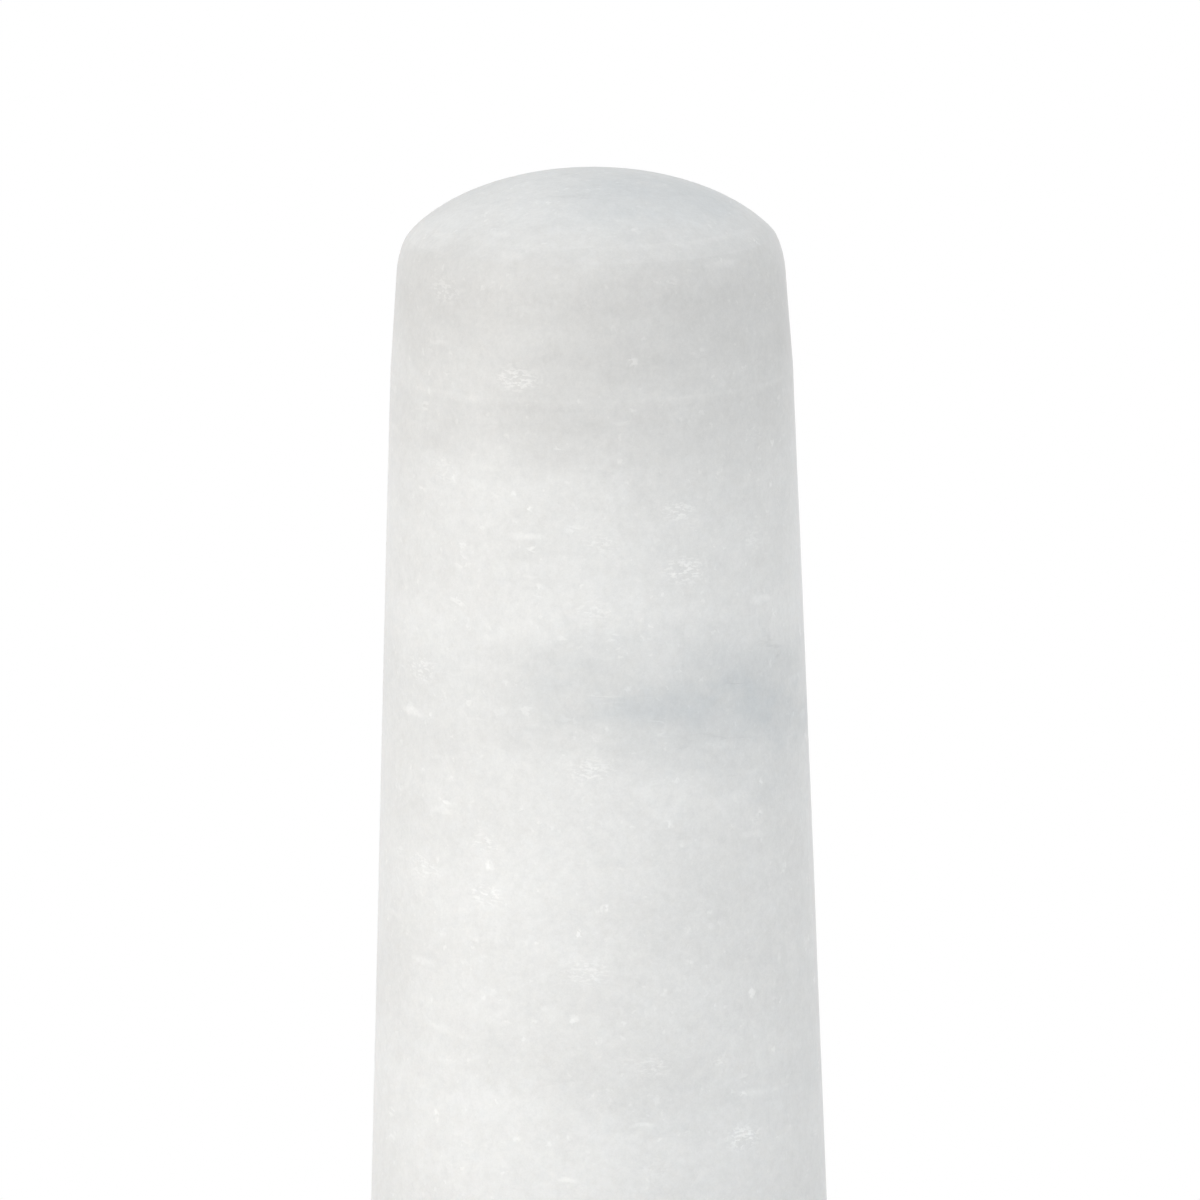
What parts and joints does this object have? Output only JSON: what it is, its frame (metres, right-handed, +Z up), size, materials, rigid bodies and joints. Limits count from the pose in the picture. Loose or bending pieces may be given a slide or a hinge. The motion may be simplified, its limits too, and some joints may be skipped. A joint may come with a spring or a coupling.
{
  "type": "grinding bowl and pestle",
  "caption": "Thick turned stone bowl with a rounded lip, and a domed, tapering stone pestle that stands in it and lifts out for grinding.",
  "frame": {"origin": "on the table, under the middle of the bowl, in the plane of the foot pads' lower faces", "axes": "+Z up along the turning axis of the bowl and of the standing pestle; +X and +Y point between the foot pads"},
  "size_m": [0.124, 0.124, 0.1772],
  "materials": {
    "bowl_marble": "polished outside, honed inside",
    "pestle_marble": "polished, with a honed working end",
    "pad_rubber": "matte"
  },
  "bodies": {
    "bowl": {"bowl": "bowl_marble", "foot_pad_1": "pad_rubber", "foot_pad_2": "pad_rubber", "foot_pad_3": "pad_rubber", "foot_pad_4": "pad_rubber"},
    "pestle": {"pestle": "pestle_marble"}
  },
  "joints": [
    {"name": "pestle_lift", "type": "slide", "parent": "bowl", "child": "pestle", "axis": [0, 0, 1], "range_m": [0, 0.09]}
  ]
}
